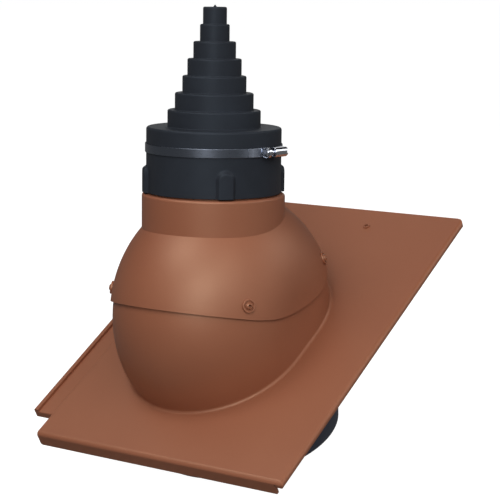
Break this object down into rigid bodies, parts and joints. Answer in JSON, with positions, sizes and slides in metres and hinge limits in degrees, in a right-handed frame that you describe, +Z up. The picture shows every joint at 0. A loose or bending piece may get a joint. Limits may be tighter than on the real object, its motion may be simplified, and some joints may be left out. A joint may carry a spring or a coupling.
{
  "type": "antenna roof tile",
  "caption": "Flat interlocking roof tile with a domed mast passage: a hood screwed to the dome, a stepped rubber boot and a worm-drive clamp.",
  "frame": {"origin": "where the mast's axis meets the plane of the tile's top face", "axes": "+Z up along the mast, +Y up the roof on plan, +X across the roof, to the right seen from the eaves; the tile lies at the 30 degree roof pitch"},
  "size_m": [0.3375, 0.3724, 0.4892],
  "materials": {
    "terracotta_plastic": "satin moulded plastic, terracotta",
    "hood_plastic": "satin moulded plastic, terracotta",
    "painted_steel": "painted to match the tile",
    "washer_coat": "painted, bonded seal",
    "boot_rubber": "satin black",
    "collar_rubber": "satin black",
    "stainless_steel": "bright rolled"
  },
  "bodies": {
    "root": {"tile": "terracotta_plastic", "hood": "hood_plastic", "hood_screws": "painted_steel", "sealing_washers": "washer_coat", "stepped_boot": "boot_rubber", "clamp_band": "stainless_steel", "clamp_housing": "stainless_steel", "clamp_screw": "stainless_steel", "underlay_collar": "collar_rubber"}
  },
  "joints": []
}
